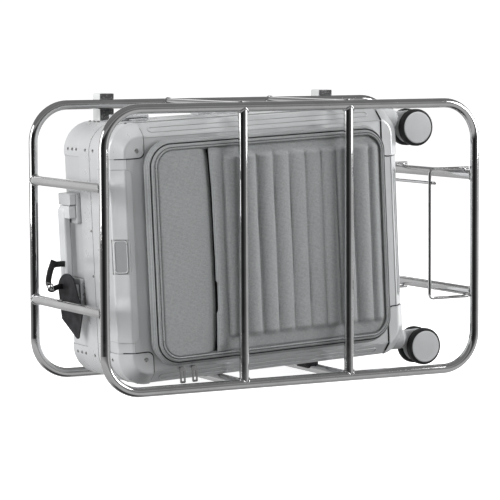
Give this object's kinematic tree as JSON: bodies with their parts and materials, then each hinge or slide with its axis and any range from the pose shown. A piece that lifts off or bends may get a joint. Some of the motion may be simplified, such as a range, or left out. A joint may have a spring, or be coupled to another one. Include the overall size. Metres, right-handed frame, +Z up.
{
  "type": "luggage carrier with cabin case",
  "caption": "Chrome tube luggage carrier holding a wheeled hard-shell cabin case with a fabric front pocket, handles, latches and swivel casters.",
  "frame": {"origin": "on the floor, at the centre of the whole outline", "axes": "+X along the carrier towards the wheels of the case, +Y from the front bay to the rear, +Z up"},
  "size_m": [0.6412, 0.282, 0.4257],
  "materials": {
    "chrome_tube": "polished",
    "chrome_wire": "polished",
    "hook_steel": "satin",
    "pad_rubber": "matt",
    "shell_aluminium": "anodised satin",
    "frame_aluminium": "anodised satin",
    "gasket_rubber": "matt",
    "cap_aluminium": "anodised satin",
    "rivet_steel": "bright",
    "hinge_steel": "satin",
    "latch_metal": "satin",
    "handle_plastic": "satin",
    "bracket_metal": "satin",
    "sleeve_plastic": "matt",
    "rod_aluminium": "anodised",
    "trolley_plastic": "matt",
    "caster_plastic": "matt",
    "axle_steel": "bright",
    "hub_plastic": "satin",
    "tyre_rubber": "matt",
    "pocket_fabric": "woven",
    "zip_metal": "polished",
    "tag_leather": "matt",
    "strap_leather": "matt"
  },
  "bodies": {
    "root": {"back_frame": "frame_aluminium", "back_shell": "shell_aluminium", "case_hinges": "hinge_steel", "case_rivets": "rivet_steel", "caster_sockets": "caster_plastic", "corner_caps_back": "cap_aluminium", "corner_caps_front": "cap_aluminium", "cross_tube_left_lower": "chrome_tube", "cross_tube_left_upper": "chrome_tube", "cross_tube_right_lower": "chrome_tube", "cross_tube_right_upper": "chrome_tube", "end_wire_front": "chrome_wire", "end_wire_rear": "chrome_wire", "end_wire_rod": "chrome_wire", "frame_gasket": "gasket_rubber", "front_frame": "frame_aluminium", "front_loop_tube": "chrome_tube", "front_pocket": "pocket_fabric", "front_shell": "shell_aluminium", "front_upright_left": "chrome_tube", "front_upright_right": "chrome_tube", "handle_brackets": "bracket_metal", "hook_block_left": "hook_steel", "hook_block_right": "hook_steel", "hook_pads": "pad_rubber", "latch_bases": "latch_metal", "rear_loop_tube": "chrome_tube", "rest_pads": "pad_rubber", "tie_tube_bottom_left": "chrome_tube", "tie_tube_bottom_right": "chrome_tube", "tie_tube_top_left": "chrome_tube", "tie_tube_top_right": "chrome_tube", "trolley_sleeves": "sleeve_plastic"},
    "carry_handle": {"carry_handle": "handle_plastic", "tag_strap": "strap_leather", "luggage_tag": "tag_leather"},
    "side_handle": {"side_handle": "handle_plastic"},
    "trolley_handle": {"trolley_rods": "rod_aluminium", "trolley_grip": "trolley_plastic"},
    "trolley_button": {"trolley_button": "trolley_plastic"},
    "latch_left": {"latch_lever_left": "latch_metal"},
    "latch_right": {"latch_lever_right": "latch_metal"},
    "fork_front_upper": {"caster_fork_front_upper": "caster_plastic", "caster_axle_front_upper": "axle_steel"},
    "wheels_front_upper": {"caster_hubs_front_upper": "hub_plastic", "caster_tyres_front_upper": "tyre_rubber"},
    "fork_front_lower": {"caster_fork_front_lower": "caster_plastic", "caster_axle_front_lower": "axle_steel"},
    "wheels_front_lower": {"caster_hubs_front_lower": "hub_plastic", "caster_tyres_front_lower": "tyre_rubber"},
    "fork_rear_upper": {"caster_fork_rear_upper": "caster_plastic", "caster_axle_rear_upper": "axle_steel"},
    "wheels_rear_upper": {"caster_hubs_rear_upper": "hub_plastic", "caster_tyres_rear_upper": "tyre_rubber"},
    "fork_rear_lower": {"caster_fork_rear_lower": "caster_plastic", "caster_axle_rear_lower": "axle_steel"},
    "wheels_rear_lower": {"caster_hubs_rear_lower": "hub_plastic", "caster_tyres_rear_lower": "tyre_rubber"},
    "zip_left": {"zip_pull_left": "zip_metal"},
    "zip_right": {"zip_pull_right": "zip_metal"}
  },
  "joints": [
    {"name": "carry_handle_slide", "type": "slide", "parent": "root", "child": "carry_handle", "axis": [-0.999, 0, -0.0436], "range_m": [0, 0.007], "stiffness_N_per_m": 150},
    {"name": "side_handle_lift", "type": "slide", "parent": "root", "child": "side_handle", "axis": [-0.0436, 0, 0.999], "range_m": [0, 0.007]},
    {"name": "trolley_handle_slide", "type": "slide", "parent": "root", "child": "trolley_handle", "axis": [-0.999, 0, -0.0436], "range_m": [0, 0.33]},
    {"name": "trolley_button_press", "type": "slide", "parent": "trolley_handle", "child": "trolley_button", "axis": [0.999, 0, 0.0436], "range_m": [0, 0.002], "stiffness_N_per_m": 200},
    {"name": "latch_left_flip", "type": "hinge", "parent": "root", "child": "latch_left", "pos_m": [-0.20294, 0.0085, 0.39517], "axis": [-0.999, 0, -0.0436], "range_deg": [0, 80]},
    {"name": "latch_right_flip", "type": "hinge", "parent": "root", "child": "latch_right", "pos_m": [0.12675, 0.0085, 0.40956], "axis": [-0.999, 0, -0.0436], "range_deg": [0, 80]},
    {"name": "swivel_front_upper", "type": "hinge", "parent": "root", "child": "fork_front_upper", "pos_m": [0.20189, -0.071, 0.38497], "axis": [0.999, 0, 0.0436], "continuous": true},
    {"name": "roll_front_upper", "type": "hinge", "parent": "fork_front_upper", "child": "wheels_front_upper", "pos_m": [0.23883, -0.071, 0.37116], "axis": [0, 1, 0], "continuous": true},
    {"name": "swivel_front_lower", "type": "hinge", "parent": "root", "child": "fork_front_lower", "pos_m": [0.21652, -0.071, 0.05008], "axis": [0.999, 0, 0.0436], "continuous": true},
    {"name": "roll_front_lower", "type": "hinge", "parent": "fork_front_lower", "child": "wheels_front_lower", "pos_m": [0.25345, -0.071, 0.03628], "axis": [0, 1, 0], "continuous": true},
    {"name": "swivel_rear_upper", "type": "hinge", "parent": "root", "child": "fork_rear_upper", "pos_m": [0.20189, 0.0485, 0.38497], "axis": [0.999, 0, 0.0436], "continuous": true},
    {"name": "roll_rear_upper", "type": "hinge", "parent": "fork_rear_upper", "child": "wheels_rear_upper", "pos_m": [0.23816, 0.0639, 0.38655], "axis": [-0.0436, 0, 0.999], "continuous": true},
    {"name": "swivel_rear_lower", "type": "hinge", "parent": "root", "child": "fork_rear_lower", "pos_m": [0.21652, 0.0485, 0.05008], "axis": [0.999, 0, 0.0436], "continuous": true},
    {"name": "roll_rear_lower", "type": "hinge", "parent": "fork_rear_lower", "child": "wheels_rear_lower", "pos_m": [0.25278, 0.0639, 0.05167], "axis": [-0.0436, 0, 0.999], "continuous": true},
    {"name": "zip_left_slide", "type": "slide", "parent": "root", "child": "zip_left", "axis": [0.999, 0, 0.0436], "range_m": [-0.005, 0.01]},
    {"name": "zip_right_slide", "type": "slide", "parent": "root", "child": "zip_right", "axis": [0.999, 0, 0.0436], "range_m": [0, 0.28]}
  ]
}
